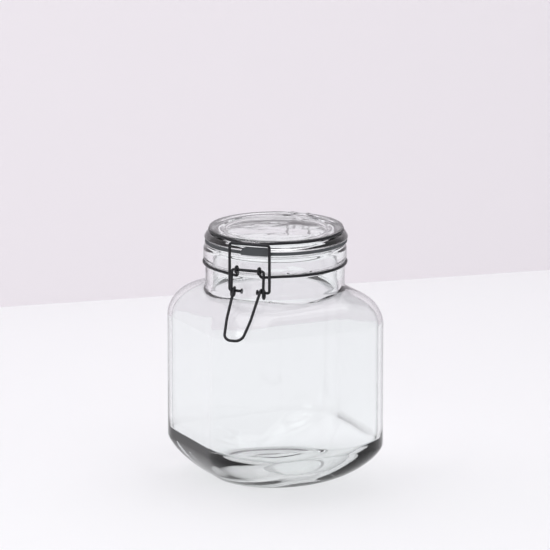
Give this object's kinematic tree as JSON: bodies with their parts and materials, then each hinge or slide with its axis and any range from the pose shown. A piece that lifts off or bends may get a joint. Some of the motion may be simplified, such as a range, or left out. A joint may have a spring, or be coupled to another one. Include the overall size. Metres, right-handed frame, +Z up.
{
  "type": "bail clamp jar",
  "caption": "Square glass storage jar with a round neck, hinged glass lid, rubber gasket and over-centre wire clasp.",
  "frame": {"origin": "centre of the base, on the surface the jar stands on", "axes": "+Z up; the flat sides face X and Y; the clasp is over the (-X, -Y) corner and the lid hinge over the (+X, +Y) corner"},
  "size_m": [0.126, 0.126, 0.172],
  "materials": {
    "glass": "clear pressed glass",
    "lid_glass": "clear pressed glass",
    "gasket": "matte dark gray rubber",
    "wire": "dark drawn steel wire"
  },
  "bodies": {
    "jar": {"jar_body": "glass", "neck_wire": "wire"},
    "lid": {"lid": "lid_glass", "gasket": "gasket", "lid_wire": "wire"},
    "lever": {"lever": "wire"},
    "bail": {"bail": "wire"}
  },
  "joints": [
    {"name": "lid_hinge", "type": "hinge", "parent": "jar", "child": "lid", "pos_m": [0.03691, 0.03691, 0.16], "axis": [-0.7071, 0.7071, 0], "range_deg": [0, 180]},
    {"name": "lever_pivot", "type": "hinge", "parent": "jar", "child": "lever", "pos_m": [-0.03734, -0.03734, 0.1527], "axis": [-0.7071, 0.7071, 0], "range_deg": [0, 120]},
    {"name": "bail_pivot", "type": "hinge", "parent": "lever", "child": "bail", "pos_m": [-0.03663, -0.03663, 0.138], "axis": [-0.7071, 0.7071, 0], "range_deg": [-120, 0]}
  ],
  "couplings": [
    {"joint": "bail_pivot", "follows": "lever_pivot", "ratio": -1}
  ]
}
